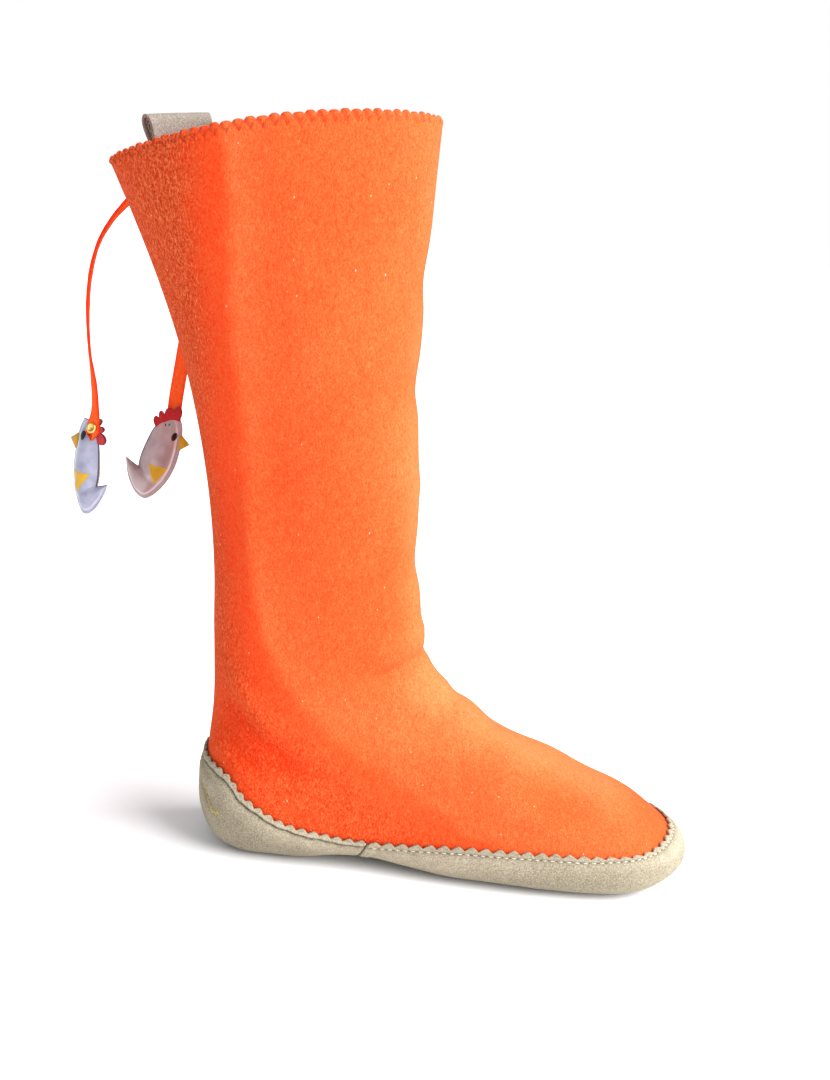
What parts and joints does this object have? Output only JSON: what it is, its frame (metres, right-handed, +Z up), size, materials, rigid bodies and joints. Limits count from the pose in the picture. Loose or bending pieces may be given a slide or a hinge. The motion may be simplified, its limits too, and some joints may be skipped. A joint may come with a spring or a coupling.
{
  "type": "slipper boot",
  "caption": "Tall orange felt slipper boot with a beige suede moccasin bottom, a suede pull loop and two ties that end in padded hens.",
  "frame": {"origin": "on the floor, under the middle of the heel's flat spot", "axes": "+X from heel to toe, +Y to the wearer's left, where the pull loop and ties are, +Z up along the shaft"},
  "size_m": [0.342, 0.108, 0.3819],
  "materials": {
    "orange_felt": "napped wool felt",
    "beige_suede": "napped suede",
    "loop_suede": "napped suede",
    "insole_felt": "felt",
    "tie_felt": "felt",
    "satin": "glossy satin",
    "red_felt": "felt",
    "yellow_felt": "felt",
    "brass": "polished"
  },
  "bodies": {
    "root": {"upper": "orange_felt", "forefoot_sole": "beige_suede", "heel_sole": "beige_suede", "insole": "insole_felt", "pull_loop": "loop_suede", "tie_a": "tie_felt", "tie_b": "tie_felt", "hen_a_body": "satin", "hen_a_comb": "red_felt", "hen_a_beak": "yellow_felt", "hen_a_rivet": "brass", "hen_b_body": "satin", "hen_b_comb": "red_felt", "hen_b_beak": "yellow_felt", "hen_b_rivet": "brass"}
  },
  "joints": []
}
